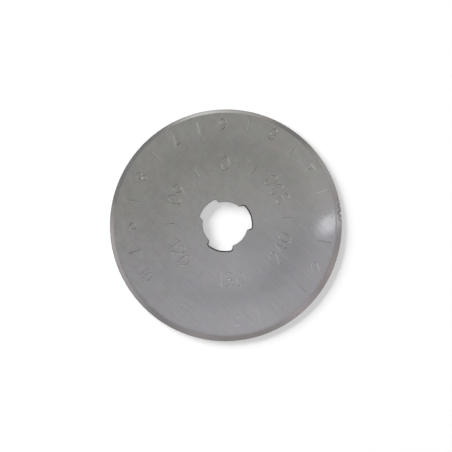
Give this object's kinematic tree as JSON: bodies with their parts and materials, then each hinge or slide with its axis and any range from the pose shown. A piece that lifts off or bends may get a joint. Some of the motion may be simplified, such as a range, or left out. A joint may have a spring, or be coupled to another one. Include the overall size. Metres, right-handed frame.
{
  "type": "rotary cutter blade",
  "caption": "Round blade of ground strip steel, sharpened on both faces round its whole rim, with a notched centre bore that drops over a cutter's hub.",
  "frame": {"origin": "on the bore's axis, at the lower face", "axes": "+Z along the bore's axis, up from the face that the blade lies on; +X through the middle of one of the bore's notches"},
  "size_m": [0.045, 0.045, 0.0003],
  "materials": {
    "ground_steel": "ground and etched"
  },
  "bodies": {
    "root": {"blade": "ground_steel"}
  },
  "joints": []
}
